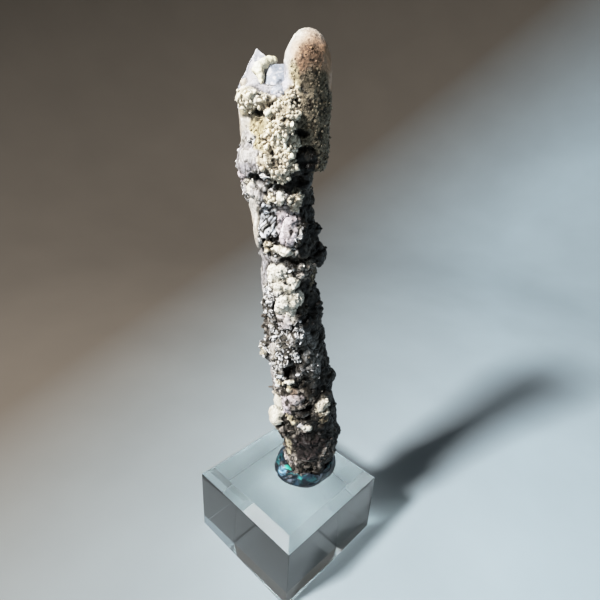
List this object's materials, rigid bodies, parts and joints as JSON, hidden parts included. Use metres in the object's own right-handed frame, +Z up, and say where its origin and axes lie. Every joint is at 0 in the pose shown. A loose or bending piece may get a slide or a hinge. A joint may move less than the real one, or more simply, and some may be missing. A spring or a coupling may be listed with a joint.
{
  "type": "quartz crystal on a display block",
  "caption": "Leaning column of druse-crusted quartz with a blunt finger crystal and pointed crystals at its head, held upright by mounting putty on a clear square block with a bevelled top.",
  "frame": {"origin": "centre of the block's underside, on the surface that the object stands on", "axes": "+Z up along the column; X and Y along the block's sides; the side that shows best faces between +X and -Y, over the block's corner"},
  "size_m": [0.0392, 0.0392, 0.146],
  "materials": {
    "quartz": "matte",
    "putty": "satin",
    "acrylic": "polished"
  },
  "bodies": {
    "root": {"quartz_crystal": "quartz", "putty_wad": "putty", "acrylic_block": "acrylic"}
  },
  "joints": []
}
